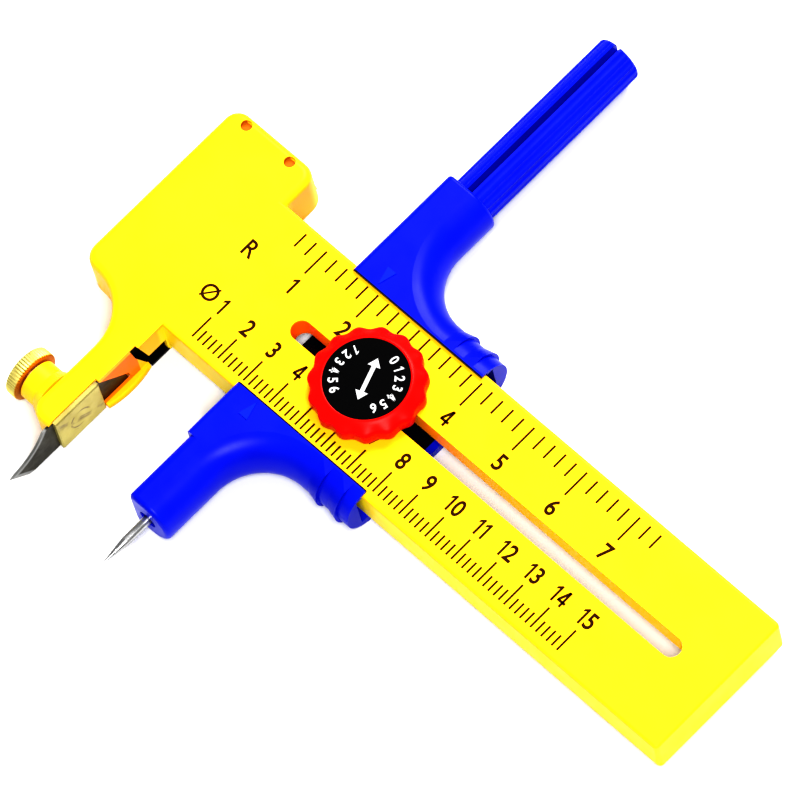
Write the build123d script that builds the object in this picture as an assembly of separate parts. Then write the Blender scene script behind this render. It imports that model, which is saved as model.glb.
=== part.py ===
from build123d import *
import math
import os

os.makedirs("parts", exist_ok=True)

# Circle cutter: a slotted arm with a scale carries the blade, and a slider with the needle is locked on it.
# Lengths are in millimetres. X runs along the arm from the plane of the blade, where the radius is zero.
# Y runs from the needle to the handle, and Z is zero on the face with the scale.

# Whole depth, from the face with the scale to the surface that the cutter lies on
body_depth = 8.0

# Arm
arm_end_x = 95.0
arm_half_width = 12.1
arm_wall = 1.6
arm_plate = 2.6
arm_corner_radius = 0.7
arm_top_round = 0.45
channel_start_x = 9.5
slot_start_x = 14.2
slot_end_x = 87.75
slot_width = 3.1
slot_rim_wall = 1.3
slot_rim_gap = 0.4

# Head, the hollow block at the end of the arm
head_left_x = -15.4
head_right_x = 0.65
head_low_y = -12.2
head_wall = 1.5
head_roof = 1.5
head_top_round = 1.1
head_corner_low = 2.6
head_corner_left = 2.3
head_corner_right = 2.5
head_arm_overlap = 5.0
dimple_radius = 0.85
dimple_depth = 0.8
dimple_margin = 1.4
dimple_xs = (-12.05, -3.57)

# Sliding cover at the back of the head
cover_plate = 0.7
cover_tongue_width = 0.9
cover_tongue_thickness = 0.7
cover_groove_gap = 0.05
cover_side_gap = 0.1
cover_grip_count = 5
cover_grip_pitch = 1.5
cover_grip_width = 0.7
cover_grip_depth = 0.3
cover_grip_length = 7.0
cover_grip_margin = 2.0

# Finger that carries the blade
finger_width = 4.5
finger_end_y = -33.3
finger_neck_straight = 0.1
finger_neck_radius = -head_left_x - head_corner_low - finger_width - finger_neck_straight
finger_end_radius = 2.5
shelf_depth = 0.83
shelf_roof = 0.65
shelf_roof_gap = 0.05
corner_block_width = 0.6
slit_inset = 1.5
slit_width = 1.1
slit_top_z = -0.35
slit_left_y = -17.9
slit_knee_y = -17.4
slit_knee_z = -3.4
slit_foot_y = -15.7
slit_lift = 0.4
slit_block_y = -15.6
slit_block_z = -4.6
slit_gap = 0.2
lip_start_reach = 0.6
lip_start_y = -15.75
lip_reach = 1.15
lip_reach_y = -18.8
lip_end_reach = 0.7
lip_end_gap = 0.15
lip_height = 0.8
lip_slope = 0.4
lip_root = 0.4

# Clamp for the blade
clamp_y = -28.5
clamp_z = -body_depth / 2
boss_base_radius = 3.9
boss_radius = 3.1
boss_cone_length = 1.5
boss_end_x = -8.3
stud_radius = 1.5
stud_fit = 0.05
stud_end_x = -11.1
stud_seat = 0.5
stud_tip_bevel = 0.3
plate_thickness = 0.8
plate_length = 8.3
plate_top_gap = 0.3
plate_corner = 0.35
washer_thickness = 0.3
washer_radius = 2.6
nut_radius = 3.95
nut_thickness = 2.0
nut_bevel = 0.25
nut_groove_count = 40
nut_groove_depth = 0.16

# Blade
blade_thickness = 0.38
blade_top_gap = 0.75
blade_lift = 0.2
blade_low_z = -body_depth + blade_lift
blade_front_y = -34.3
blade_tip_y = -41.5
blade_tip_z = -4.7
blade_waist_y = -36.4
blade_waist_z = -3.0
blade_heel_y = -38.4
blade_tail_top_y = -24.2
blade_tail_knee_y = -19.4
blade_tail_knee_z = -5.6
blade_tail_y = -19.0
blade_grind = 0.7
blade_land = 0.14
tail_pocket_gap = 0.3

# Spare blades, which give the head its length
spare_count = 5
spare_gap = 0.02
spare_lift = 0.06
spare_side_gap = 0.5
spare_end_gap = 2.0
spare_far_gap = 3.2
store_length = spare_end_gap + blade_tail_y - blade_tip_y + spare_far_gap
head_high_y = head_low_y + head_wall + store_length + head_wall

# Slider that rides on the arm
slider_left_x = 14.6
slider_right_x = 39.5
slider_side_gap = 0.2
slider_flange = 3.25
slider_rim_gap = 0.15
slider_web = 1.45
arm_depth = body_depth - slider_web - slider_rim_gap
slider_fillet = 8.0
slider_lip_cover = 0.95
slider_lip_y = arm_half_width - slider_lip_cover
slider_lip_gap = 0.1
slider_lip_thickness = 0.5
slider_top_z = slider_lip_gap + slider_lip_thickness
slider_depth = body_depth + slider_top_z
side_over = 0.02
side_round = slider_depth / 2 + side_over
tube_axis_x = 18.3
tube_axis_z = (slider_top_z - body_depth) / 2
tube_right = 4.46
tube_left_corner = 0.9
socket_end_y = 30.4
tube_end_y = -33.2
tube_step_y = -21.1
tube_step = 0.55
low_tube_right = 3.95
low_tube_left_corner = 1.5
socket_edge = 0.5
tube_edge = 0.7
grip_ridge_height = 0.5
grip_ridge_start = 0.02
grip_ridge_width = 1.9
grip_ridge_xs = (33.8, 37.5)
relief_start_x = 34.0
relief_depth = 1.0
relief_roof = 0.9
arrow_shift_x = 0.75
arrow_width = 1.6
arrow_length = 2.75
arrow_rise = 0.15
arrow_margin = 0.7
arrow_point_y = slider_lip_y + arrow_margin

# Handle stem
stem_radius = 3.6
stem_end_y = 60.0
stem_edge = 0.7
stem_flutes = 16
stem_flute_radius = 0.8
stem_flute_depth = 0.2
stem_slot_width = 0.95
stem_slot_depth = 2.2
spigot_radius = 2.6
spigot_length = 12.0

# Needle and its bush
needle_radius = 0.7
needle_taper_y = -37.5
needle_tip_y = -42.2
needle_tip_radius = 0.06
needle_root_y = -19.0
bush_radius = 1.45
bush_recess = 1.2
bush_length = 11.0

# Lock knob with its screw, washer, label and nut
knob_x = 28.95
knob_radius = 8.4
knob_low_z = 0.2
knob_rim_z = 2.3
knob_top_z = 3.4
knob_top_radius = 6.45
knob_shoulder_radius = 7.7
knob_shoulder_z = 2.75
knob_lobes = 15
knob_scallop_radius = 1.5
knob_scallop_depth = 0.55
label_radius = 6.09
label_thickness = 0.3
label_gap = 0.03
screw_radius = 1.5
screw_fit = 0.05
screw_head_across = 5.5
screw_head_height = 1.7
screw_head_top_gap = 0.2
screw_head_gap = 0.03
screw_tip_gap = 0.3
knob_washer_radius = 5.0
knob_washer_thickness = 0.7
knob_washer_gap = 0.1
lock_nut_size = 5.5
lock_nut_thickness = 2.2
lock_nut_gap = 0.05
lock_nut_bevel = 0.4
nut_cap_thickness = 0.6
nut_cap_border = 0.5
nut_boss_wall = 1.4
nut_boss_roof = 0.6
nut_top_z = -body_depth + nut_cap_thickness + lock_nut_thickness
nut_boss_top_z = nut_top_z + nut_boss_roof

# Overrun of every cut past the face that it opens
overrun = 1.0


def block(x_ends, y_ends, z_ends):
    size = [high - low for low, high in (x_ends, y_ends, z_ends)]
    middle = [(high + low) / 2 for low, high in (x_ends, y_ends, z_ends)]
    return Pos(*middle) * Box(*size)


def rod_x(x_ends, y, z, radius):
    low, high = x_ends
    return Pos((low + high) / 2, y, z) * Rot(0, 90, 0) * Cylinder(radius, high - low)


def rod_y(y_ends, x, z, radius):
    low, high = y_ends
    return Pos(x, (low + high) / 2, z) * Rot(90, 0, 0) * Cylinder(radius, high - low)


def rod_z(z_ends, x, y, radius):
    low, high = z_ends
    return Pos(x, y, (low + high) / 2) * Cylinder(radius, high - low)


def outline(points, radii):
    return make_face(FilletPolyline(*points, radius=radii, close=True))


def drop(face, top_z, depth):
    return Pos(0, 0, top_z) * extrude(face, amount=depth, dir=(0, 0, -1))


def flat_section(left, left_round, right):
    # Flat part of the section of a tube along Y, with the axis in the middle of its height
    half = slider_depth / 2
    corners = [(-left, -half), (right, -half), (right, half), (-left, half)]
    return outline(corners, [left_round, 0, 0, left_round])


def round_section(left, left_round, right):
    # The same section with its half round side
    side = Pos(right - side_round, 0) * Circle(side_round)
    band = Pos(right, 0) * Rectangle(2 * side_round, slider_depth)
    return flat_section(left, left_round, right - side_round) + (side & band)


def tube_run(y_ends, section):
    # Carries a section along Y, with the section's own up direction kept as Z
    low, high = y_ends
    plane = Plane(origin=(tube_axis_x, high, tube_axis_z), x_dir=(1, 0, 0), z_dir=(0, -1, 0))
    return extrude(plane * section, amount=high - low)


# Plan of the head and finger
shelf_x = -shelf_depth
head_points = [
    (head_right_x, head_high_y),
    (head_left_x, head_high_y),
    (head_left_x, head_low_y),
    (-finger_width, head_low_y),
    (-finger_width, finger_end_y),
    (head_right_x, finger_end_y),
]
head_radii = [
    head_corner_right,
    head_corner_left,
    head_corner_low,
    finger_neck_radius,
    finger_end_radius,
    0,
]
head = drop(outline(head_points, head_radii), 0, body_depth)
head_top = head.faces().sort_by(Axis.Z)[-1]
head = fillet(head_top.outer_wire().edges(), head_top_round)
finger_face = block(
    (0, head_right_x + overrun),
    (finger_end_y - overrun, -arm_half_width),
    (-body_depth - overrun, overrun),
)
head = head - finger_face

# Slotted arm with its open channel underneath
arm_points = [
    (-head_arm_overlap, -arm_half_width),
    (arm_end_x, -arm_half_width),
    (arm_end_x, arm_half_width),
    (-head_arm_overlap, arm_half_width),
]
arm = drop(outline(arm_points, [0, arm_corner_radius, arm_corner_radius, 0]), 0, arm_depth)
arm_top = arm.faces().sort_by(Axis.Z)[-1]
arm_rim = [edge for edge in arm_top.outer_wire().edges() if edge.center().X > -head_arm_overlap / 2]
arm = fillet(arm_rim, arm_top_round)

channel = block(
    (channel_start_x, arm_end_x - arm_wall),
    (-arm_half_width + arm_wall, arm_half_width - arm_wall),
    (-body_depth - overrun, -arm_plate),
)
slot_middle_x = (slot_start_x + slot_end_x) / 2
slot_length = slot_end_x - slot_start_x
slot_face = Pos(slot_middle_x, 0, 0) * SlotOverall(slot_length, slot_width)
rim_face = Pos(slot_middle_x, 0, 0) * SlotOverall(
    slot_length + 2 * slot_rim_wall, slot_width + 2 * slot_rim_wall
)
slot_rim_top_z = -arm_plate / 2
slot_rim_depth = slot_rim_top_z - nut_boss_top_z - slot_rim_gap
slot_rim = drop(rim_face, slot_rim_top_z, slot_rim_depth)
slot_cut = drop(slot_face, overrun, body_depth + 2 * overrun)
arm = arm - channel + slot_rim - slot_cut

# Blade's place on the finger: a shelf, a pocket for the tail, and the openings beside the arm
corner_y = -arm_half_width
slit_low_z = -body_depth + slit_lift
corner_points = [
    (slit_left_y + slit_width, 0),
    (slit_block_y, slit_block_z),
    (slit_block_y, -body_depth),
    (corner_y + corner_block_width, -body_depth),
    (corner_y + corner_block_width, 0),
]
corner_plane = Plane(origin=(-corner_block_width, 0, 0), x_dir=(0, 1, 0), z_dir=(1, 0, 0))
corner_face = make_face(Polyline(*corner_points, close=True))
corner_block = extrude(corner_plane * corner_face, amount=2 * corner_block_width)
slit_points = [
    (slit_left_y, slit_top_z),
    (slit_left_y + slit_width, slit_top_z),
    (slit_block_y, slit_block_z),
    (corner_y - slit_gap, slit_block_z),
    (corner_y - slit_gap, slit_low_z),
    (slit_foot_y, slit_low_z),
    (slit_knee_y, slit_knee_z),
]
slit_plane = Plane(origin=(-slit_inset, 0, 0), x_dir=(0, 1, 0), z_dir=(1, 0, 0))
slit_face = make_face(Polyline(*slit_points, close=True))
slit = extrude(slit_plane * slit_face, amount=slit_inset + corner_block_width + overrun)
plate_back_x = shelf_x + blade_thickness
shelf_y = (finger_end_y - overrun, blade_tail_top_y + tail_pocket_gap)
shelf = block((shelf_x, lip_reach + overrun), shelf_y, (-body_depth - overrun, -shelf_roof))
shelf_front = block(
    (plate_back_x - shelf_roof_gap, lip_reach + overrun), shelf_y, (-shelf_roof, overrun)
)
tail_points = [
    (blade_tail_top_y - overrun, -blade_top_gap),
    (blade_tail_top_y + tail_pocket_gap, -blade_top_gap),
    (blade_tail_knee_y + tail_pocket_gap, blade_tail_knee_z + tail_pocket_gap),
    (blade_tail_y + tail_pocket_gap, blade_low_z - tail_pocket_gap),
    (blade_tail_top_y - overrun, blade_low_z - tail_pocket_gap),
]
blade_plane = Plane(origin=(shelf_x, 0, 0), x_dir=(0, 1, 0), z_dir=(1, 0, 0))
tail_face = make_face(Polyline(*tail_points, close=True))
tail_pocket = extrude(blade_plane * tail_face, amount=shelf_depth + corner_block_width + overrun)
lip_end_y = blade_tail_top_y + lip_end_gap
lip_start = (lip_start_reach, lip_start_y)
lip_end = (lip_end_reach, lip_end_y)
lip_arc = ThreePointArc(lip_start, (lip_reach, lip_reach_y), lip_end)
lip_back = Polyline(lip_end, (-lip_root, lip_end_y), (-lip_root, lip_start_y), lip_start)
lip = drop(make_face(Curve() + [lip_arc, lip_back]), -body_depth + lip_height, lip_height)
lip_top = lip.faces().sort_by(Axis.Z)[-1]
lip = chamfer(lip_top.edges().sort_by(Axis.X)[-1], lip_slope)

boss_cone_x = -finger_width - boss_cone_length / 2
boss = Pos(boss_cone_x, clamp_y, clamp_z) * Rot(0, -90, 0) * Cone(
    boss_base_radius, boss_radius, boss_cone_length
)
boss = boss + rod_x((boss_end_x, -finger_width + lip_root), clamp_y, clamp_z, boss_radius)
stud_bore = rod_x((boss_end_x - overrun, overrun), clamp_y, clamp_z, stud_radius + stud_fit)

# Store for the spare blades inside the head, with grooves for its cover
cover_top_z = -body_depth + cover_plate + cover_tongue_thickness
groove_low_z = -body_depth + cover_plate - cover_groove_gap
groove_top_z = cover_top_z + cover_groove_gap
store_x = (head_left_x + head_wall, head_right_x - head_wall)
store_y = (head_low_y + head_wall, head_high_y - head_wall)
store = block(store_x, store_y, (groove_low_z, -head_roof))
cover_way = block(
    store_x,
    (store_y[0], head_high_y + overrun),
    (groove_low_z, groove_top_z),
)
mouth_x = (store_x[0] + cover_tongue_width, store_x[1] - cover_tongue_width)
cover_mouth = block(
    mouth_x,
    (store_y[0], head_high_y + overrun),
    (-body_depth - overrun, groove_low_z + overrun / 2),
)

arm_body = head + arm + corner_block
arm_body = arm_body - slit - shelf - shelf_front - tail_pocket
arm_body = arm_body + lip + boss
arm_body = arm_body - stud_bore - store - cover_way - cover_mouth
for dimple_x in dimple_xs:
    dimple = rod_z((-dimple_depth, overrun), dimple_x, head_high_y - dimple_margin, dimple_radius)
    arm_body = arm_body - dimple

# Cover that slides in the grooves
cover_x = (store_x[0] + cover_side_gap, store_x[1] - cover_side_gap)
cover_y = (store_y[0] + cover_side_gap, head_high_y)
cover_low_x = (mouth_x[0] + cover_side_gap, mouth_x[1] - cover_side_gap)
rear_cover = block(cover_x, cover_y, (-body_depth + cover_plate, cover_top_z))
rear_cover = rear_cover + block(cover_low_x, cover_y, (-body_depth, -body_depth + cover_plate))
cover_middle_x = (cover_x[0] + cover_x[1]) / 2
for index in range(cover_grip_count):
    grip_y = head_high_y - cover_grip_margin - index * cover_grip_pitch
    rear_cover = rear_cover - block(
        (cover_middle_x - cover_grip_length / 2, cover_middle_x + cover_grip_length / 2),
        (grip_y - cover_grip_width / 2, grip_y + cover_grip_width / 2),
        (-body_depth - overrun, -body_depth + cover_grip_depth),
    )


# Outline of one blade in its own plane, long way along the first axis
def blade_solid():
    waist = Spline(
        (blade_front_y, -blade_top_gap),
        (blade_waist_y, blade_waist_z),
        (blade_tip_y, blade_tip_z),
    )
    rest = Polyline(
        (blade_tip_y, blade_tip_z),
        (blade_heel_y, blade_low_z),
        (blade_tail_y, blade_low_z),
        (blade_tail_knee_y, blade_tail_knee_z),
        (blade_tail_top_y, -blade_top_gap),
        (blade_front_y, -blade_top_gap),
    )
    face = make_face(Curve() + [waist, rest])
    face = face - Pos(clamp_y, clamp_z) * Circle(stud_radius + stud_fit)
    solid = extrude(face, amount=blade_thickness)
    grind_reach = math.hypot(blade_tip_y - blade_heel_y, blade_tip_z - blade_low_z)
    grind_angle = math.degrees(math.atan2(blade_tip_z - blade_low_z, blade_tip_y - blade_heel_y))
    grind_middle = ((blade_tip_y + blade_heel_y) / 2, (blade_tip_z + blade_low_z) / 2)
    lean = (blade_thickness - blade_land) / 2
    wedge_points = [
        (overrun, -overrun),
        (overrun, lean + lean * overrun / blade_grind),
        (-blade_grind, 0),
        (-blade_grind, -overrun),
    ]
    wedge_plane = Plane(origin=(0, 0, 0), x_dir=(0, 1, 0), z_dir=(1, 0, 0))
    wedge_face = wedge_plane * make_face(Polyline(*wedge_points, close=True))
    wedge = extrude(wedge_face, amount=grind_reach, both=True)
    low_wedge = Pos(*grind_middle, 0) * Rot(0, 0, grind_angle) * wedge
    high_wedge = mirror(low_wedge, about=Plane.XY.offset(blade_thickness / 2))
    return solid - low_wedge - high_wedge


blade_model = blade_solid()
cutting_blade = blade_plane * blade_model

# Clamp plate and stud that draw the blade onto the shelf
plate_y = (blade_tail_top_y - plate_length, blade_tail_top_y)
plate_z = (blade_low_z, -plate_top_gap)
clamp_plate = block((plate_back_x, plate_back_x + plate_thickness), plate_y, plate_z)
plate_front = clamp_plate.faces().sort_by(Axis.X)[-1]
clamp_plate = chamfer(plate_front.edges(), plate_corner / 2)
stud_seat_x = plate_back_x + stud_seat
clamp_plate = clamp_plate - rod_x((plate_back_x - overrun, stud_seat_x), clamp_y, clamp_z, stud_radius)
clamp_stud = rod_x((stud_end_x, stud_seat_x), clamp_y, clamp_z, stud_radius)
clamp_stud = chamfer(clamp_stud.edges().sort_by(Axis.X)[0], stud_tip_bevel)

washer_x = (boss_end_x - washer_thickness, boss_end_x)
clamp_washer = rod_x(washer_x, clamp_y, clamp_z, washer_radius)
clamp_washer = clamp_washer - rod_x(
    (washer_x[0] - overrun, washer_x[1] + overrun), clamp_y, clamp_z, stud_radius + stud_fit
)
nut_x = (washer_x[0] - nut_thickness, washer_x[0])
clamp_nut = rod_x(nut_x, clamp_y, clamp_z, nut_radius)
clamp_nut = chamfer(clamp_nut.edges().filter_by(GeomType.CIRCLE), nut_bevel)
nut_groove_side = nut_groove_depth * math.sqrt(2)
nut_groove = Pos((nut_x[0] + nut_x[1]) / 2, 0, nut_radius) * Rot(45, 0, 0) * Box(
    nut_thickness + overrun, nut_groove_side, nut_groove_side
)
nut_grooves = [
    Pos(0, clamp_y, clamp_z) * Rot(360 / nut_groove_count * index, 0, 0) * nut_groove
    for index in range(nut_groove_count)
]
nut_bore = rod_x((nut_x[0] - overrun, nut_x[1] + overrun), clamp_y, clamp_z, stud_radius + stud_fit)
clamp_nut = clamp_nut - nut_grooves - nut_bore

# Spare blades lying on the cover
spare_place = Pos(
    store_x[0] + spare_side_gap - blade_low_z,
    store_y[0] + spare_end_gap - blade_tip_y,
    cover_top_z + spare_lift,
)
spare_step = blade_thickness + spare_gap
spare_blades = Compound(
    children=[
        spare_place * Pos(0, 0, index * spare_step) * Rot(0, 0, 90) * mirror(blade_model, about=Plane.XZ)
        for index in range(spare_count)
    ]
)

# Slider: web under the arm, flanges beside it, and the tubes for the handle and the needle
flange_inner_y = arm_half_width + slider_side_gap
flange_outer_y = flange_inner_y + slider_flange
turn_y = flange_outer_y + slider_fillet
web_top_z = -body_depth + slider_web
tube_left = tube_axis_x - slider_left_x


def flange_section(extra):
    # Half round outer side of a flange, cut flat at the edge of its lip, the top and the bottom
    disc = Pos(flange_outer_y - side_round, tube_axis_z) * Circle(side_round + extra)
    reach = flange_outer_y + grip_ridge_height - slider_lip_y + overrun
    band = Pos(slider_lip_y + reach / 2, tube_axis_z) * Rectangle(reach, slider_depth)
    return disc & band


def slider_side(tube_side):
    # Flange and the quarter turn that joins it to the tube, drawn on the handle's side of the arm
    turn_x = tube_axis_x + tube_side + slider_fillet
    wide = slider_fillet + side_round
    arc = ThreePointArc(
        (wide, tube_axis_z + side_round),
        (slider_fillet, tube_axis_z),
        (wide, tube_axis_z - side_round),
    )
    rest = Polyline(
        (wide, tube_axis_z - side_round),
        (wide, -body_depth - overrun),
        (0, -body_depth - overrun),
        (0, slider_top_z + overrun),
        (wide, slider_top_z + overrun),
        (wide, tube_axis_z + side_round),
    )
    cutter_face = Plane.XZ * make_face(Curve() + [arc, rest])
    cutter = Pos(turn_x, turn_y, 0) * revolve(cutter_face, Axis.Z)
    side = block((tube_axis_x, turn_x), (slider_lip_y, turn_y), (-body_depth, slider_top_z)) - cutter
    flange_plane = Plane(origin=(turn_x, 0, 0), x_dir=(0, 1, 0), z_dir=(1, 0, 0))
    flat_flange = extrude(flange_plane * flange_section(0), amount=slider_right_x - turn_x)
    side = side + flat_flange
    for ridge_x in grip_ridge_xs:
        low_plane = flange_plane.offset(ridge_x - grip_ridge_width - turn_x)
        high_plane = flange_plane.offset(ridge_x - turn_x)
        low_face = low_plane * flange_section(grip_ridge_start)
        high_face = high_plane * flange_section(grip_ridge_height)
        side = side + loft([low_face, high_face], ruled=True)
    return side


upper_side = slider_side(tube_right)
upper_half = flat_section(tube_left, tube_left_corner, 0)
upper_section = round_section(tube_left, tube_left_corner, tube_right)
socket = tube_run((turn_y, socket_end_y), upper_section)
socket_mouth = socket.faces().sort_by(Axis.Y)[-1]
socket = fillet(socket_mouth.outer_wire().edges(), socket_edge)
upper_side = upper_side + tube_run((slider_lip_y, turn_y), upper_half) + socket

lower_side = slider_side(low_tube_right)
low_left = tube_left - tube_step
low_half = flat_section(low_left, low_tube_left_corner, 0)
low_section = round_section(low_left, low_tube_left_corner, low_tube_right)
needle_tube = tube_run((turn_y, -tube_end_y), low_section)
needle_mouth = needle_tube.faces().sort_by(Axis.Y)[-1]
needle_tube = fillet(needle_mouth.outer_wire().edges(), tube_edge)
lower_side = lower_side + tube_run((slider_lip_y, -tube_step_y), upper_half)
lower_side = lower_side + tube_run((-tube_step_y, turn_y), low_half) + needle_tube

web = block(
    (slider_left_x, slider_right_x), (-flange_inner_y, flange_inner_y), (-body_depth, web_top_z)
)
slider_body = web + upper_side + mirror(lower_side, about=Plane.XZ)
arm_way = block(
    (slider_left_x - overrun, slider_right_x + overrun),
    (-flange_inner_y, flange_inner_y),
    (web_top_z, slider_lip_gap),
)
relief = block(
    (relief_start_x, slider_right_x + overrun),
    (-flange_inner_y - relief_depth, flange_inner_y + relief_depth),
    (web_top_z, slider_top_z - relief_roof),
)
slider_body = slider_body - arm_way - relief

# Boss over the web that holds the square nut, with its pocket open downwards
nut_boss_half = lock_nut_size / 2 + nut_boss_wall
slider_body = slider_body + block(
    (knob_x - nut_boss_half, knob_x + nut_boss_half),
    (-nut_boss_half, nut_boss_half),
    (-body_depth, nut_boss_top_z),
)
nut_pocket_half = lock_nut_size / 2 + lock_nut_gap
slider_body = slider_body - block(
    (knob_x - nut_pocket_half, knob_x + nut_pocket_half),
    (-nut_pocket_half, nut_pocket_half),
    (-body_depth - overrun, nut_top_z),
)
cap_half = nut_pocket_half + nut_cap_border
cap_seat = (-body_depth - overrun, -body_depth + nut_cap_thickness)
slider_body = slider_body - block(
    (knob_x - cap_half, knob_x + cap_half), (-cap_half, cap_half), cap_seat
)
slider_body = slider_body - rod_z((-body_depth - overrun, overrun), knob_x, 0, screw_radius + screw_fit)
spigot_end_y = socket_end_y - spigot_length
slider_body = slider_body - rod_y(
    (spigot_end_y, socket_end_y + overrun), tube_axis_x, tube_axis_z, spigot_radius
)
slider_body = slider_body - rod_y(
    (tube_end_y - overrun, needle_root_y), tube_axis_x, tube_axis_z, bush_radius
)
arrow_x = tube_axis_x + arrow_shift_x
arrow_face = make_face(
    Polyline(
        (arrow_x, arrow_point_y),
        (arrow_x + arrow_width / 2, arrow_point_y + arrow_length),
        (arrow_x - arrow_width / 2, arrow_point_y + arrow_length),
        close=True,
    )
)
arrow = drop(arrow_face, slider_top_z + arrow_rise, 2 * arrow_rise)
slider_body = slider_body + arrow + mirror(arrow, about=Plane.XZ)

# Fluted handle stem with a slot on top and a spigot in the socket
stem_y = (socket_end_y, stem_end_y)
handle_stem = rod_y(stem_y, tube_axis_x, tube_axis_z, stem_radius)
handle_stem = fillet(handle_stem.edges().filter_by(GeomType.CIRCLE).sort_by(Axis.Y)[-1], stem_edge)
flute_place = stem_radius - stem_flute_depth + stem_flute_radius
flute_y = (socket_end_y - overrun, stem_end_y + overrun)
flutes = []
for index in range(1, stem_flutes):
    turn = math.radians(360 / stem_flutes * index)
    flute_x = tube_axis_x + flute_place * math.sin(turn)
    flute_z = tube_axis_z + flute_place * math.cos(turn)
    flutes.append(rod_y(flute_y, flute_x, flute_z, stem_flute_radius))
stem_slot = block(
    (tube_axis_x - stem_slot_width / 2, tube_axis_x + stem_slot_width / 2),
    flute_y,
    (tube_axis_z + stem_radius - stem_slot_depth, tube_axis_z + stem_radius + overrun),
)
handle_stem = handle_stem - flutes - stem_slot
spigot_y = (spigot_end_y, socket_end_y)
handle_stem = handle_stem + rod_y(spigot_y, tube_axis_x, tube_axis_z, spigot_radius)

# Needle and the brass bush that holds it
needle_profile = [
    (0, needle_tip_y),
    (needle_tip_radius, needle_tip_y),
    (needle_radius, needle_taper_y),
    (needle_radius, needle_root_y),
    (0, needle_root_y),
]
needle = revolve(make_face(Polyline(*needle_profile, close=True)), Axis.Y)
needle = Pos(tube_axis_x, 0, tube_axis_z) * needle
bush_y = (tube_end_y + bush_recess, tube_end_y + bush_recess + bush_length)
needle_bush = rod_y(bush_y, tube_axis_x, tube_axis_z, bush_radius)
needle_bush = needle_bush - rod_y(
    (bush_y[0] - overrun, bush_y[1] + overrun), tube_axis_x, tube_axis_z, needle_radius
)

# Lobed lock knob
knob_profile = [
    (0, knob_low_z),
    (knob_radius, knob_low_z),
    (knob_radius, knob_rim_z),
    (knob_shoulder_radius, knob_shoulder_z),
    (knob_top_radius, knob_top_z),
    (0, knob_top_z),
]
knob_face = Plane.XZ * make_face(Polyline(*knob_profile, close=True))
lock_knob = revolve(knob_face, Axis.Z)
scallop_place = knob_radius - knob_scallop_depth + knob_scallop_radius
scallop = rod_z((knob_low_z - overrun, knob_top_z + overrun), scallop_place, 0, knob_scallop_radius)
for index in range(knob_lobes):
    lock_knob = lock_knob - Rot(0, 0, 360 / knob_lobes * index) * scallop
washer_z = (0, knob_washer_thickness)
washer_seat_radius = knob_washer_radius + knob_washer_gap
lock_knob = lock_knob - rod_z((knob_low_z - overrun, knob_washer_thickness), 0, 0, washer_seat_radius)
label_z = (knob_top_z - label_thickness, knob_top_z)
lock_knob = lock_knob - rod_z((label_z[0], label_z[1] + overrun), 0, 0, label_radius + label_gap)
head_z = (label_z[0] - screw_head_top_gap - screw_head_height, label_z[0] - screw_head_top_gap)
hex_radius = screw_head_across / math.sqrt(3)
head_hex = RegularPolygon(hex_radius, 6)
seat_hex = RegularPolygon(hex_radius + screw_head_gap, 6)
lock_knob = lock_knob - drop(seat_hex, label_z[0] + overrun / 2, label_z[0] + overrun / 2 - head_z[0])
lock_knob = lock_knob - rod_z((-overrun, knob_top_z), 0, 0, screw_radius + screw_fit)
lock_knob = Pos(knob_x, 0, 0) * lock_knob

screw_low_z = -body_depth + nut_cap_thickness + screw_tip_gap
knob_screw = drop(head_hex, head_z[1], screw_head_height)
knob_screw = knob_screw + rod_z((screw_low_z, head_z[1]), 0, 0, screw_radius)
knob_screw = Pos(knob_x, 0, 0) * knob_screw
knob_label = rod_z(label_z, knob_x, 0, label_radius)
knob_washer = rod_z(washer_z, knob_x, 0, knob_washer_radius)
knob_washer = knob_washer - rod_z(
    (washer_z[0] - overrun, washer_z[1] + overrun), knob_x, 0, screw_radius + screw_fit
)

# Square nut in the slider and the cap that closes its pocket
nut_low_z = -body_depth + nut_cap_thickness
nut_half = lock_nut_size / 2
lock_nut = block((knob_x - nut_half, knob_x + nut_half), (-nut_half, nut_half), (nut_low_z, nut_top_z))
lock_nut = chamfer(lock_nut.edges().filter_by(Axis.Z), lock_nut_bevel)
lock_nut = lock_nut - rod_z(
    (nut_low_z - overrun, nut_top_z + overrun), knob_x, 0, screw_radius + screw_fit
)
nut_cap = block(
    (knob_x - cap_half, knob_x + cap_half), (-cap_half, cap_half), (-body_depth, nut_low_z)
)

pieces = {
    "arm_body": arm_body,
    "rear_cover": rear_cover,
    "spare_blades": spare_blades,
    "cutting_blade": cutting_blade,
    "clamp_plate": clamp_plate,
    "clamp_stud": clamp_stud,
    "clamp_washer": clamp_washer,
    "clamp_nut": clamp_nut,
    "slider_body": slider_body,
    "lock_nut": lock_nut,
    "nut_cap": nut_cap,
    "lock_knob": lock_knob,
    "knob_screw": knob_screw,
    "knob_label": knob_label,
    "knob_washer": knob_washer,
    "handle_stem": handle_stem,
    "needle": needle,
    "needle_bush": needle_bush,
}

# The part's origin is under the middle of its outer box, on the surface that it lies on
origin = (
    (head_left_x + arm_end_x) / 2,
    (needle_tip_y + stem_end_y) / 2,
    -body_depth,
)
for name, piece in pieces.items():
    placed = Pos(-origin[0], -origin[1], -origin[2]) * piece
    export_step(placed, os.path.join("parts", name + ".step"))
    print(name, len(placed.solids()), round(placed.volume, 1))
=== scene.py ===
# %% [markdown]
# # A circle cutter with a printed scale
# The real tool is a small plastic compass with a blade: a yellow slotted arm with a head at one end, a
# blue slider that carries the needle and the stem, and a red knob that locks it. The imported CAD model
# already holds every solid in its place, so this lesson adds what a solid can't say: ink, numbers,
# knurls and finishes. It starts with the frame, because every later piece is placed from its numbers.

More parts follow.
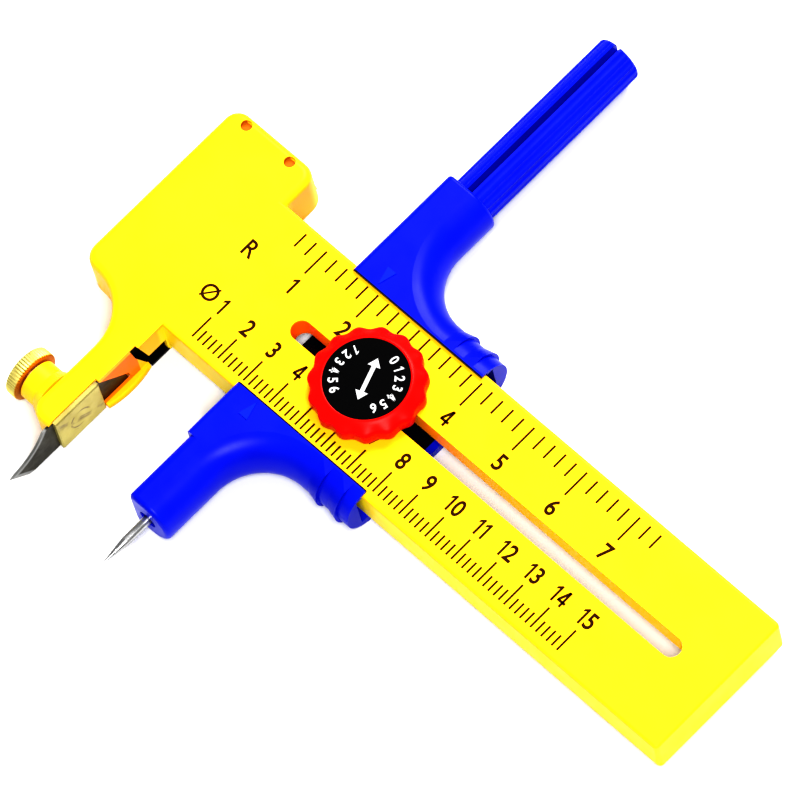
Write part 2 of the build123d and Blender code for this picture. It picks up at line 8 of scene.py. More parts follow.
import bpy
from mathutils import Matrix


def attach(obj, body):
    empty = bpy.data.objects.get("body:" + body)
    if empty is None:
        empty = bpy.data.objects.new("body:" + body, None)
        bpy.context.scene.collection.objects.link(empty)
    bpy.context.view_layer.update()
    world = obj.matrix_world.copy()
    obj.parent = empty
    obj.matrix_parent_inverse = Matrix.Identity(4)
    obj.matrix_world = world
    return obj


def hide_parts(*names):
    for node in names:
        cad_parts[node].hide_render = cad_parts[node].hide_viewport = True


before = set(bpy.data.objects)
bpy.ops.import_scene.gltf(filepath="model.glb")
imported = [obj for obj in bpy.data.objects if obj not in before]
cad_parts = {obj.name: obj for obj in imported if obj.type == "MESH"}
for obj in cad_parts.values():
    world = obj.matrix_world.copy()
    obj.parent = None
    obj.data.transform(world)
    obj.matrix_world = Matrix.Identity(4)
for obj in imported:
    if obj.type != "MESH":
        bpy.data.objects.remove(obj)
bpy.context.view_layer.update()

# %% [markdown]
# ## One ruler for the whole scene
# A cutter like this is measured from three natural planes: the blade's plane, where the radius is zero,
# the arm's middle line, and the face with the scale. The part's own origin lies elsewhere, under the
# middle of its box. One small function turns the first kind of number into the second, so that every
# length below can be read straight off the object with a ruler. A second one puts a new object into the
# scene, as every cell that makes one would otherwise repeat those lines.

# %% The ruler
import math

import bmesh
import bpy
from mathutils import Matrix, Vector

MM = 0.001
BLADE_PLANE_X = -39.8
ARM_MIDDLE_Y = -8.9
SCALE_FACE_Z = 8.0


def at(x, y, z):
    return Vector((x + BLADE_PLANE_X, y + ARM_MIDDLE_Y, z + SCALE_FACE_Z)) * MM


def in_scene(name, data):
    # A new object does nothing until a collection of the scene holds it
    made = bpy.data.objects.new(name, data)
    bpy.context.scene.collection.objects.link(made)
    return made


print("scale face at", at(0, 0, 0)[:])

# %% [markdown]
# ## The camera
# The photograph was taken from far away with a long lens, about 25 degrees off the upright, and the
# camera leaned to one side. The angles come from the printed lines, which are evenly spaced on the real
# arm. A camera can be turned with angles or with a matrix: here its three axes are worked out one by
# one, because a matrix says exactly where right, up and back are, and the lean is then a plain turn
# about the line of sight.

# %% Set up the camera
CAMERA_AZIMUTH = math.radians(59.9)
CAMERA_ELEVATION = math.radians(64.629)
CAMERA_LEAN = math.radians(-16.832)
CAMERA_DISTANCE = 1252 * MM
LOOKED_AT = at(33.277, 1.581, 0)
LENS_PER_SENSOR = 11.5079
SENSOR = 36.0

level = Vector((math.cos(CAMERA_AZIMUTH), math.sin(CAMERA_AZIMUTH), 0))
back = Vector((
    math.sin(CAMERA_AZIMUTH) * math.cos(CAMERA_ELEVATION),
    -math.cos(CAMERA_AZIMUTH) * math.cos(CAMERA_ELEVATION),
    math.sin(CAMERA_ELEVATION),
))
raised = back.cross(level)
right = math.cos(CAMERA_LEAN) * level + math.sin(CAMERA_LEAN) * raised
up = -math.sin(CAMERA_LEAN) * level + math.cos(CAMERA_LEAN) * raised

camera_data = bpy.data.cameras.new("photo_camera")
camera_data.sensor_width = SENSOR
camera_data.lens = LENS_PER_SENSOR * SENSOR
camera_data.clip_start = 0.05
camera_data.clip_end = 20.0
camera = in_scene("photo_camera", camera_data)
axes = Matrix((right, up, back)).transposed().to_4x4()
camera.matrix_world = Matrix.Translation(LOOKED_AT + back * CAMERA_DISTANCE) @ axes
bpy.context.scene.camera = camera
print("lens", round(camera_data.lens, 1), "mm")

# %% [markdown]
# ## Helpers for node trees
# Materials and Geometry Nodes are both trees of nodes. Building them by script takes the same moves
# again and again: add a node, fill its inputs, and wire one node to the next. One helper does that, and
# the others call it for the nodes used most, so the cells below read like a recipe: an input gets
# either a number or the output of another node.


# %% Node helpers
def put(tree, kind, settings=None, inputs=None):
    made = tree.nodes.new(kind)
    for name, value in (settings or {}).items():
        setattr(made, name, value)
    for key, value in (inputs or {}).items():
        if isinstance(value, bpy.types.NodeSocket):
            tree.links.new(value, made.inputs[key])
        else:
            made.inputs[key].default_value = value
    return made


def maths(tree, operation, first, second=0.0, third=0.0):
    inputs = {0: first, 1: second, 2: third}
    return put(tree, "ShaderNodeMath", {"operation": operation}, inputs).outputs[0]


def vector_maths(tree, operation, *values):
    inputs = dict(enumerate(values))
    return put(tree, "ShaderNodeVectorMath", {"operation": operation}, inputs).outputs


def spread(tree, value, from_low, from_high, to_low, to_high):
    # Map Range, clamped: the workhorse for turning a noise into a mask or a roughness
    inputs = {
        "Value": value, "From Min": from_low, "From Max": from_high, "To Min": to_low, "To Max": to_high,
    }
    return put(tree, "ShaderNodeMapRange", None, inputs).outputs[0]


def own_place(tree):
    # Object coordinates: they stay on the piece, wherever its body moves
    return put(tree, "ShaderNodeTexCoord").outputs["Object"]


def noise(tree, place, scale, **more):
    return put(tree, "ShaderNodeTexNoise", None, {"Vector": place, "Scale": scale, **more}).outputs[0]


def new_group(name, kind, inputs, outputs):
    tree = bpy.data.node_groups.new(name, kind)
    for label, socket_type, value in inputs:
        socket = tree.interface.new_socket(label, in_out="INPUT", socket_type=socket_type)
        if value is not None:
            socket.default_value = value
    for label, socket_type in outputs:
        tree.interface.new_socket(label, in_out="OUTPUT", socket_type=socket_type)
    return tree, tree.nodes.new("NodeGroupInput").outputs, tree.nodes.new("NodeGroupOutput").inputs


# %% [markdown]
# ## The skin of moulded plastic
# The arm, the slider, the knob and the stem all come out of steel moulds, and they share one kind of
# surface: a very fine grain from the mould, slow changes of tone where the melt flowed, and a gloss that
# varies a little where fingers have polished it. It could be drawn anew in each material. A shader group
# draws it once, and metal and ink reuse it with their own grain size. A second group draws hairline
# scratches for the metals. Both give out only masks and a height, never a shader.

# %% Shared surface effects
FLOAT = "NodeSocketFloat"
RUBBED_PER_FLOW = 4.0
plastic_skin, given, result = new_group(
    "moulded_skin",
    "ShaderNodeTree",
    [("Grain per Metre", FLOAT, 5000.0), ("Flow per Metre", FLOAT, 60.0)],
    [("Grain Height", FLOAT), ("Flow", FLOAT), ("Rubbed", FLOAT)],
)
place = own_place(plastic_skin)
grain = noise(plastic_skin, place, given["Grain per Metre"], Detail=3.0, Roughness=0.55)
flow = noise(plastic_skin, place, given["Flow per Metre"], Detail=2.0, Distortion=0.6)
rubbed_scale = maths(plastic_skin, "MULTIPLY", given["Flow per Metre"], RUBBED_PER_FLOW)
rubbed = noise(plastic_skin, place, rubbed_scale, Detail=4.0)
plastic_skin.links.new(grain, result["Grain Height"])
plastic_skin.links.new(spread(plastic_skin, flow, 0.35, 0.65, 0.0, 1.0), result["Flow"])
plastic_skin.links.new(spread(plastic_skin, rubbed, 0.4, 0.7, 0.0, 1.0), result["Rubbed"])

SCRATCH_STRETCH = (1.0, 0.08, 1.0)
SCRATCHED_PATCHES_PER_METRE = 500.0
scratch_group, given, result = new_group(
    "hairline_scratches",
    "ShaderNodeTree",
    [("Scratches per Metre", FLOAT, 400.0), ("Turn", FLOAT, 0.0), ("Width", FLOAT, 0.03)],
    [("Scratch", FLOAT)],
)
place = own_place(scratch_group)
about_x = {"rotation_type": "X_AXIS"}
turned_place = put(
    scratch_group, "ShaderNodeVectorRotate", about_x, {"Vector": place, "Angle": given["Turn"]}
).outputs[0]
long_way = vector_maths(scratch_group, "MULTIPLY", turned_place, SCRATCH_STRETCH)[0]
lines = noise(scratch_group, long_way, given["Scratches per Metre"], Detail=3.0)
off_middle = maths(scratch_group, "ABSOLUTE", maths(scratch_group, "SUBTRACT", lines, 0.5))
patches = noise(scratch_group, place, SCRATCHED_PATCHES_PER_METRE)
line = spread(scratch_group, off_middle, 0.0, given["Width"], 1.0, 0.0)
where = spread(scratch_group, patches, 0.45, 0.6, 0.0, 1.0)
scratch_group.links.new(maths(scratch_group, "MULTIPLY", line, where), result["Scratch"])
print("groups", [group.name for group in bpy.data.node_groups])

# %% [markdown]
# ## Plastics
# Four colours of the same kind of plastic make up most of the tool. Each gets two close tones, mixed by
# the slow flow of the skin group, a roughness that drops a little where it is rubbed, and a very shallow
# bump from the grain. Colour could also be one flat value, but then a large face such as the arm's looks
# like paper.

# %% Plastic materials
# The Mix node has sockets for every kind of data; these are the ones for colours
MIX_SHARE, MIX_FIRST, MIX_SECOND, MIX_RESULT = 0, 6, 7, 2
BUMP_STRENGTH = 0.6
GRAIN_DEPTH = 0.006 * MM


def new_material(name):
    material = bpy.data.materials.new(name)
    material.use_nodes = True
    return material, material.node_tree, material.node_tree.nodes["Principled BSDF"]


def mixed(tree, share, first, second):
    mix = put(tree, "ShaderNodeMix", {"data_type": "RGBA"})
    tree.links.new(share, mix.inputs[MIX_SHARE])
    for index, tone in ((MIX_FIRST, first), (MIX_SECOND, second)):
        if isinstance(tone, bpy.types.NodeSocket):
            tree.links.new(tone, mix.inputs[index])
        else:
            mix.inputs[index].default_value = (*tone, 1.0)
    return mix.outputs[MIX_RESULT]


def coloured(tree, shader, share, first, second):
    tree.links.new(mixed(tree, share, first, second), shader.inputs["Base Color"])


def laid_over(tree, shader, share, tone):
    # Mixes one more tone into the colour that the shader already has
    base = shader.inputs["Base Color"].links[0].from_socket
    coloured(tree, shader, share, base, tone)


def use_group(tree, group, **values):
    made = put(tree, "ShaderNodeGroup", {"node_tree": group})
    for name, value in values.items():
        made.inputs[name.replace("_", " ")].default_value = value
    return made.outputs


def glossed(tree, shader, skin, roughness, rubbed_roughness):
    gloss = spread(tree, skin["Rubbed"], 0.0, 1.0, roughness, rubbed_roughness)
    tree.links.new(gloss, shader.inputs["Roughness"])


def bumped(tree, shader, height, depth):
    inputs = {"Height": height, "Distance": depth, "Strength": BUMP_STRENGTH}
    tree.links.new(put(tree, "ShaderNodeBump", None, inputs).outputs[0], shader.inputs["Normal"])


def plastic(name, tone, second_tone, roughness, polish, shine):
    material, tree, shader = new_material(name)
    skin = use_group(tree, plastic_skin)
    coloured(tree, shader, skin["Flow"], tone, second_tone)
    glossed(tree, shader, skin, roughness, roughness - polish)
    shader.inputs["Specular IOR Level"].default_value = shine
    bumped(tree, shader, skin["Grain Height"], GRAIN_DEPTH)
    return material


# Each look is the plastic's two tones, its roughness, its polish and its shine
YELLOW = ((1.0, 0.52, 0.005), (1.0, 0.56, 0.008), 0.42, 0.08, 0.10)
BLUE = ((0.0, 0.004, 0.46), (0.0, 0.007, 0.52), 0.36, 0.08, 0.08)
RED = ((0.60, 0.002, 0.001), (0.68, 0.003, 0.002), 0.34, 0.08, 0.06)
NYLON = ((0.80, 0.79, 0.74), (0.84, 0.83, 0.79), 0.5, 0.05, 0.3)
yellow = plastic("yellow_moulded_plastic", *YELLOW)
blue = plastic("blue_moulded_plastic", *BLUE)
red = plastic("red_moulded_plastic", *RED)
nylon = plastic("white_nylon", *NYLON)
print("plastics", [material.name for material in (yellow, blue, red, nylon)])

# %% [markdown]
# ## Tones that are mostly shade
# In the photograph some faces of the arm and the slider look darker, deeper orange or paler than their
# plastic is: the bent slit beside the blade's tail is a black line, the slider's web under the slot is
# nearly black, and the slot's walls go from deep orange to pale. Most of that is shade and reflected
# light. The render's own light falls differently there, so those tones are painted on. They aren't
# colours of the plastic, and they stay on their piece when it moves, which real shade wouldn't. A
# painted picture could hold them, but it needs an unwrapped mesh. A stain here is a box on the object's
# own coordinates that fades out past its faces, so it can be placed with the ruler.

# %% Painted shade and light inside a box
VECTOR = "NodeSocketVector"
box_mask, given, result = new_group(
    "inside_box",
    "ShaderNodeTree",
    [
        ("Middle", VECTOR, (0.0, 0.0, 0.0)),
        ("Half Size", VECTOR, (1.0, 1.0, 1.0)),
        ("Edge", VECTOR, (MM, MM, MM)),
    ],
    [("Inside", FLOAT)],
)
away = vector_maths(box_mask, "SUBTRACT", own_place(box_mask), given["Middle"])[0]
away = vector_maths(box_mask, "ABSOLUTE", away)[0]
away = vector_maths(box_mask, "SUBTRACT", away, given["Half Size"])[0]
away = vector_maths(box_mask, "DIVIDE", away, given["Edge"])[0]
parts = put(box_mask, "ShaderNodeSeparateXYZ", None, {0: away}).outputs
furthest = maths(box_mask, "MAXIMUM", maths(box_mask, "MAXIMUM", parts[0], parts[1]), parts[2])
box_mask.links.new(spread(box_mask, furthest, 0.0, 1.0, 1.0, 0.0), result["Inside"])
print("box mask", len(box_mask.nodes), "nodes")


def stained(material, low, high, tone, edge=0.05, edge_x=None):
    # Paints a tone that stands in for shade or light inside the box between two corners, fading out over
    # edge, or over edge_x along the arm
    tree = material.node_tree
    inputs = {
        "Middle": (low + high) / 2,
        "Half Size": (high - low) / 2,
        "Edge": Vector((edge_x or edge, edge, edge)) * MM,
    }
    inside = put(tree, "ShaderNodeGroup", {"node_tree": box_mask}, inputs).outputs[0]
    laid_over(tree, tree.nodes["Principled BSDF"], inside, tone)


# %% [markdown]
# ## Where the tones lie
# The arm and the slider get plastics of their own, since the cover, the cap and the stem share the same
# colour and must stay free of painted shade and light. Every row is one painted patch of shade or light,
# and a later row lies over an earlier one. Across a face the box has a little to spare. Along it, the
# ends and the fade are matched to the photograph.

# %% Paint shade and light on the arm and the slider
ARM_END = 95.0
# Tones of painted light and shade: the arm's side is painted paler, the slit, the web and the lip edges
# are painted dark as shade, the arrows are painted lighter
SIDE_PAINTED_LIGHT = (1.0, 0.74, 0.012)
SLIT_PAINTED_SHADE = (0.001, 0.0006, 0.0004)
WEB_PAINTED_SHADE = (0.0008, 0.0008, 0.003)
ARROW_PAINTED_LIGHT = (0.001, 0.014, 0.60)
LIP_PAINTED_SHADOW = (0.0, 0.0004, 0.008)
DIMPLES_X = (-12.05, -3.57)
DIMPLE_RADIUS = 0.9
# Painted shade inside the two dimples
DIMPLE_PAINTED_SHADE = (0.50, 0.13, 0.002)
ARM_PAINTED_SHADE_AND_LIGHT = (
    # Painted shade: the finger's lower rim, then the pocket beside the blade's tail
    ((-1.7, -24.6, -9.5), (1.2, -16.5, -7.6), (1.0, 0.36, 0.004), 0.3),
    ((-1.0, -24.1, -7.3), (0.05, -17.2, -1.0), (1.0, 0.19, 0.001)),
    # The slot's walls, painted: shade at the head's end, the knob's shadow beside the knob, and light
    # towards the arm's end
    ((13.6, -2.6, -7.5), (17.0, 2.6, -0.5), (1.0, 0.18, 0.001), 0.45, 6.0),
    ((34.0, 1.4, -7.5), (38.0, 2.6, -0.5), (1.0, 0.33, 0.002), 0.45, 9.0),
    ((64.0, 1.4, -7.5), (90.0, 2.6, -0.5), (1.0, 0.80, 0.010), 0.45, 22.0),
    # Painted light: the arm's long side and its end, made paler as if lit more brightly
    ((0.4, -13.0, -9.6), (105.0, -11.2, -0.8), SIDE_PAINTED_LIGHT, 0.4),
    ((ARM_END - 0.4, -13.0, -9.6), (ARM_END + 1, 13.0, -0.8), SIDE_PAINTED_LIGHT, 0.4),
    # Painted shade: the inside of the head's shoulder, an inner corner
    ((0.3, 13.2, -8.5), (1.6, 16.2, -1.2), (1.0, 0.37, 0.006), 1.0),
    # Painted shade: the slit, black as deep shade, and its lower edge
    ((-1.7, -18.1, -7.72), (-0.09, -12.25, -0.33), SLIT_PAINTED_SHADE),
    ((-1.7, -15.75, -8.1), (0.7, -12.15, -7.5), SLIT_PAINTED_SHADE),
    # Painted shade: the two dimples in the head
    *(
        ((x - DIMPLE_RADIUS, 16.2, -0.9), (x + DIMPLE_RADIUS, 17.72, -0.14), DIMPLE_PAINTED_SHADE)
        for x in DIMPLES_X
    ),
)
SLIDER_PAINTED_SHADE_AND_LIGHT = (
    # Painted shade on the web under the slot, painted light on the two arrows, and a painted shadow line
    # along the edges of the two lips
    ((14.4, -2.4, -6.75), (38.4, 2.4, -6.45), WEB_PAINTED_SHADE),
    # Painted light on the raised tops of the two arrows
    ((17.6, 11.6, 0.66), (20.6, 14.9, 0.9), ARROW_PAINTED_LIGHT),
    ((17.6, -14.9, 0.66), (20.6, -11.6, 0.9), ARROW_PAINTED_LIGHT),
    # A painted shadow line along the inner edges of the two lips, where they meet the arm
    ((14.5, 11.1, 0.05), (39.6, 11.33, 0.65), LIP_PAINTED_SHADOW),
    ((14.5, -11.33, 0.05), (39.6, -11.1, 0.65), LIP_PAINTED_SHADOW),
)
arm_yellow = plastic("yellow_arm_plastic", *YELLOW)
slider_blue = plastic("blue_slider_plastic", *BLUE)
for material, shade_and_light_patches in ((arm_yellow, ARM_PAINTED_SHADE_AND_LIGHT), (slider_blue, SLIDER_PAINTED_SHADE_AND_LIGHT)):
    for low, high, tone, *edges in shade_and_light_patches:
        stained(material, at(*low), at(*high), tone, *edges)
    print(material.name, "has", len(shade_and_light_patches), "shade_and_light_patches")

# %% [markdown]
# ## Metals
# The thumb nut and the clamp plate are brass, the blade is dark spring steel, the needle is ground
# bright. On metal nearly all the colour is in the reflection, so the tone goes in Base Color with
# Metallic at one, and the character is in the roughness and the hairlines. The nut has a brass of its
# own, because its inner face looks browner in the photograph: painted shade and a painted orange
# reflection lie on that face, as on the plastics.

# %% Metal materials
METAL_GRAIN_PER_METRE = 9000.0
METAL_FLOW_PER_METRE = 220.0
METAL_RUBBED = 0.12
METAL_GRAIN_SHARE = 0.4
HAIRLINE_DEPTH = 0.003 * MM


def metal(name, tone, dull_tone, roughness, scratches, turn=0.0):
    material, tree, shader = new_material(name)
    skin = use_group(
        tree, plastic_skin, Grain_per_Metre=METAL_GRAIN_PER_METRE, Flow_per_Metre=METAL_FLOW_PER_METRE
    )
    scratch = use_group(tree, scratch_group, Scratches_per_Metre=scratches, Turn=turn)["Scratch"]
    coloured(tree, shader, scratch, mixed(tree, skin["Flow"], tone, dull_tone), dull_tone)
    glossed(tree, shader, skin, roughness, roughness + METAL_RUBBED)
    shader.inputs["Metallic"].default_value = 1.0
    low_grain = maths(tree, "MULTIPLY", skin["Grain Height"], METAL_GRAIN_SHARE)
    bumped(tree, shader, maths(tree, "SUBTRACT", low_grain, scratch), HAIRLINE_DEPTH)
    return material, tree, shader, scratch


# Each look is the metal's tone, its dull tone, its roughness and its scratches per metre
BRASS = ((0.78, 0.68, 0.20), (0.64, 0.54, 0.14), 0.44, 600.0)
brass = metal("turned_brass", *BRASS)[0]
zinc = metal("zinc_plated_steel", (0.50, 0.51, 0.52), (0.40, 0.41, 0.43), 0.32, 500.0)[0]
nut_brass = metal("thumb_nut_brass", *BRASS)[0]
# Painted shade and a painted orange reflection on the nut's inner face, towards the finger
stained(nut_brass, at(-8.8, -33.5, -9.0), at(-8.4, -23.5, 1.0), (0.50, 0.19, 0.010), 0.1)
needle_steel = metal("ground_needle_steel", (0.52, 0.52, 0.52), (0.36, 0.36, 0.36), 0.22, 700.0)[0]
print("metals", [material.name for material in (brass, zinc, nut_brass, needle_steel)])

# %% [markdown]
# ## Ink
# The scale is printed in a dark brown ink that has soaked in unevenly, and the knob's disc is printed in
# white on black. Ink is a thin matt film, so it needs no bump of its own: two tones, a fine noise
# between them and a high roughness are enough for it to look printed and not painted on with a flat
# colour.

# %% Ink and print materials
INK_FLOW_PER_METRE = 900.0
INK_RUBBED = 0.1
INK_SHINE = 0.03


def ink(name, tone, worn_tone, roughness, fleck):
    material, tree, shader = new_material(name)
    skin = use_group(tree, plastic_skin, Grain_per_Metre=fleck, Flow_per_Metre=INK_FLOW_PER_METRE)
    worn = spread(tree, skin["Grain Height"], 0.52, 0.72, 0.0, 1.0)
    coloured(tree, shader, worn, tone, worn_tone)
    glossed(tree, shader, skin, roughness, roughness - INK_RUBBED)
    shader.inputs["Specular IOR Level"].default_value = INK_SHINE
    return material


scale_ink = ink("dark_scale_ink", (0.022, 0.006, 0.0008), (0.060, 0.018, 0.001), 0.6, 12000.0)
disc_black = ink("black_disc_print", (0.0004, 0.0004, 0.0005), (0.0016, 0.0016, 0.0016), 0.5, 9000.0)
disc_white = ink("white_disc_print", (0.62, 0.62, 0.62), (0.40, 0.40, 0.40), 0.6, 12000.0)
print("inks", [material.name for material in (scale_ink, disc_black, disc_white)])

# %% [markdown]
# ## The worn plate
# The clamp plate is pale worn brass with dark hairlines. Its stud is seated from the back, and its end
# still shows as a faint ring in the middle of the plate. The ring could be a picture, but a ring is only
# a distance from a point, so Object coordinates and a little arithmetic draw it at any size.

# %% Worn plate
CLAMP_Y = -28.5
CLAMP_Z = -4.0
STUD_RING = 1.75 * MM
RING_FADE = (0.05 * MM, 0.22 * MM)
BREAKS_PER_METRE = 700.0
HAIRLINE_SHARE = 0.8
SIDE_ON = (0.0, 1.0, 1.0)
MARK_TONE = (0.20, 0.15, 0.07)
worn_brass, tree, shader, scratch = metal(
    "worn_clamp_brass", (0.52, 0.45, 0.14), (0.42, 0.35, 0.10), 0.46, 260.0, turn=0.6
)
place = own_place(tree)
from_stud = vector_maths(tree, "SUBTRACT", place, tuple(at(0, CLAMP_Y, CLAMP_Z)))[0]
flat = vector_maths(tree, "MULTIPLY", from_stud, SIDE_ON)[0]
radius = vector_maths(tree, "LENGTH", flat)["Value"]
off_ring = maths(tree, "ABSOLUTE", maths(tree, "SUBTRACT", radius, STUD_RING))
ring = spread(tree, off_ring, *RING_FADE, 1.0, 0.0)
broken = spread(tree, noise(tree, place, BREAKS_PER_METRE), 0.42, 0.6, 0.0, 1.0)
ring = maths(tree, "MULTIPLY", ring, broken)
marks = maths(tree, "MAXIMUM", ring, maths(tree, "MULTIPLY", scratch, HAIRLINE_SHARE))
laid_over(tree, shader, marks, MARK_TONE)
print(worn_brass.name, "ring", round(STUD_RING / MM, 2), "mm")

# %% [markdown]
# ## The blade
# The blade is dark, with a brighter ground strip along its edges. The strip could be cut as geometry,
# but it is only a few hundredths of a millimetre deep, so a mask on the blade's own coordinates shows it
# better. The hollow edge is an arc: its centre and radius come from three points on the blade's outline,
# and the strip along it is a distance from that centre. The strip at the tip is a distance from a line.

# %% Blade steel
HOLLOW_CENTRE = at(0, -41.53, 3.89)
HOLLOW_RADIUS = 8.59 * MM
HOLLOW_STRIP = (0.35 * MM, 0.6 * MM)
TIP = at(0, -41.5, -4.7)
HEEL = at(0, -38.4, -7.8)
TIP_STRIP = 0.75 * MM
STRIP_SOFTNESS = 0.1 * MM
GROUND_TONE = (0.24, 0.24, 0.23)
blade_steel, tree, shader = metal(
    "dark_blade_steel", (0.040, 0.036, 0.024), (0.026, 0.022, 0.014), 0.40, 300.0, turn=0.9
)[:3]
place = own_place(tree)
side_on = vector_maths(tree, "MULTIPLY", place, SIDE_ON)[0]
hollow_middle = (0.0, HOLLOW_CENTRE.y, HOLLOW_CENTRE.z)
from_hollow = vector_maths(tree, "DISTANCE", side_on, hollow_middle)["Value"]
strip_start, strip_end = (HOLLOW_RADIUS + width for width in HOLLOW_STRIP)
hollow_strip = spread(tree, from_hollow, strip_start, strip_end, 1.0, 0.0)
across = Vector((0, HEEL.z - TIP.z, TIP.y - HEEL.y)).normalized()
along_normal = vector_maths(tree, "DOT_PRODUCT", place, tuple(across))["Value"]
from_edge = maths(tree, "ABSOLUTE", maths(tree, "SUBTRACT", along_normal, across.dot(TIP)))
tip_strip = spread(tree, from_edge, TIP_STRIP - STRIP_SOFTNESS, TIP_STRIP + STRIP_SOFTNESS, 1.0, 0.0)
laid_over(tree, shader, maths(tree, "MAXIMUM", hollow_strip, tip_strip), GROUND_TONE)
print(blade_steel.name, "strip", round(TIP_STRIP / MM, 2), "mm")

# %% [markdown]
# ## Dressing the solids
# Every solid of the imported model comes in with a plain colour. The new finishes could be put on one
# object at a time in the Material tab. A table by name does it in one loop, and shows at a glance what
# each piece of the real tool is made of. The thumb nut's solid is listed too, although a turned nut
# takes its place further on.

# %% Dress the CAD nodes
FINISHES = {
    "arm_body": arm_yellow,
    "rear_cover": yellow,
    "spare_blades": blade_steel,
    "cutting_blade": blade_steel,
    "clamp_plate": worn_brass,
    "clamp_stud": brass,
    "clamp_washer": zinc,
    "clamp_nut": brass,
    "slider_body": slider_blue,
    "lock_nut": zinc,
    "nut_cap": blue,
    "lock_knob": red,
    "knob_screw": zinc,
    "knob_label": disc_black,
    "knob_washer": nylon,
    "handle_stem": blue,
    "needle": needle_steel,
    "needle_bush": brass,
}
for name, material in FINISHES.items():
    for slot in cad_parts[name].material_slots:
        slot.material = material
print("dressed", len(FINISHES), "nodes")

# %% [markdown]
# ## The lines of the two scales
# Both scales are rows of short printed lines with a longer one at every fifth. The radius scale has a
# line every two millimetres, the diameter scale one every millimetre. A hundred boxes could be placed in
# a loop, but a row with a rule is what Geometry Nodes do best: a line of points, a box on each, and the
# index decides the length. Sizes come in through named inputs, so one tree prints both scales.

# %% A tree that prints a scale
INT = "NodeSocketInt"
SHAPE = "NodeSocketGeometry"
MATERIAL = "NodeSocketMaterial"
LONG_EVERY = 5.0
SAME_NUMBER = 0.1


def printed_lines_tree():
    tree, given, result = new_group(
        "printed_lines",
        "GeometryNodeTree",
        [
            ("Count", INT, 10),
            ("Pitch", FLOAT, 1 * MM),
            ("First X", FLOAT, 0.0),
            ("Outer Y", FLOAT, 0.0),
            ("Inwards", FLOAT, -1.0),
            ("Height", FLOAT, 0.0),
            ("Short", FLOAT, 2 * MM),
            ("Long", FLOAT, 4 * MM),
            ("Skip", INT, 0),
            ("Line Width", FLOAT, 0.2 * MM),
            ("Film", FLOAT, 0.02 * MM),
            ("Ink", MATERIAL, None),
        ],
        [("Geometry", SHAPE)],
    )

    def point(**values):
        return put(tree, "ShaderNodeCombineXYZ", None, values).outputs[0]

    start = point(X=given["First X"], Y=given["Outer Y"], Z=given["Height"])
    row = put(
        tree,
        "GeometryNodeMeshLine",
        None,
        {"Count": given["Count"], "Start Location": start, "Offset": point(X=given["Pitch"])},
    )
    index = put(tree, "GeometryNodeInputIndex").outputs[0]
    turn = maths(tree, "MODULO", maths(tree, "ADD", index, given["Skip"]), LONG_EVERY)
    is_long = maths(tree, "COMPARE", turn, 0.0, SAME_NUMBER)
    extra = maths(tree, "MULTIPLY", is_long, maths(tree, "SUBTRACT", given["Long"], given["Short"]))
    length = maths(tree, "ADD", given["Short"], extra)
    shift = maths(tree, "MULTIPLY", maths(tree, "MULTIPLY", length, 0.5), given["Inwards"])
    moved = put(
        tree,
        "GeometryNodeSetPosition",
        None,
        {"Geometry": row.outputs["Mesh"], "Offset": point(Y=shift)},
    )
    box = put(tree, "GeometryNodeMeshCube", None, {"Size": (1.0, 1.0, 1.0)})
    size = point(X=given["Line Width"], Y=length, Z=given["Film"])
    printed = put(
        tree,
        "GeometryNodeInstanceOnPoints",
        None,
        {"Points": moved.outputs[0], "Instance": box.outputs["Mesh"], "Scale": size},
    )
    real = put(tree, "GeometryNodeRealizeInstances", None, {"Geometry": printed.outputs[0]})
    inked = put(
        tree, "GeometryNodeSetMaterial", None, {"Geometry": real.outputs[0], "Material": given["Ink"]}
    )
    tree.links.new(inked.outputs[0], result["Geometry"])
    return tree


lines_tree = printed_lines_tree()
print("printing tree", len(lines_tree.nodes), "nodes")

# %% [markdown]
# ## From a tree to a mesh
# A Geometry Nodes tree works as a modifier on an object. It could stay there and be worked out again at
# every change. Here it runs once, and its result replaces the object's mesh.


# %% Keep a tree's result
def grown(name, tree, values, base=None):
    # Runs a tree once and keeps its result as a plain mesh on a new object
    piece = in_scene(name, base or bpy.data.meshes.new(name))
    modifier = piece.modifiers.new(name, "NODES")
    modifier.node_group = tree
    for item in tree.interface.items_tree:
        if item.in_out == "INPUT" and item.name in values:
            modifier[item.identifier] = values[item.name]
    evaluated = piece.evaluated_get(bpy.context.evaluated_depsgraph_get())
    mesh = bpy.data.meshes.new_from_object(evaluated)
    piece.modifiers.remove(modifier)
    piece.data = mesh
    mesh.name = name
    print(name, len(mesh.vertices), "points", len(mesh.polygons), "faces")
    return piece


# %% [markdown]
# ## Printing them
# On the real arm the radius scale runs along one edge and the diameter scale along the other, with
# their lines pointing inwards. Each scale is one run of the tree. The ink is a thin film that stands a
# little proud of the face: a line at the face's own height would share its plane and be hidden by it.

# %% Print both scales
FILM = 0.02
LINE = 0.31
PRINT_Z = FILM / 4
shared = {
    "Height": at(0, 0, PRINT_Z).z, "Line Width": LINE * MM, "Film": FILM * MM, "Ink": scale_ink,
}
radius_lines = grown("radius_scale_lines", lines_tree, {
    "Count": 35, "Pitch": 2 * MM, "First X": at(6, 0, 0).x, "Outer Y": at(0, 10.8, 0).y,
    "Inwards": -1.0, "Short": 2.44 * MM, "Long": 4.4 * MM, "Skip": 3, **shared,
})
diameter_lines = grown("diameter_scale_lines", lines_tree, {
    "Count": 71, "Pitch": 1 * MM, "First X": at(5, 0, 0).x, "Outer Y": at(0, -10.6, 0).y,
    "Inwards": 1.0, "Short": 1.93 * MM, "Long": 3.78 * MM, "Skip": 0, **shared,
})
for piece in (radius_lines, diameter_lines):
    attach(piece, "arm")

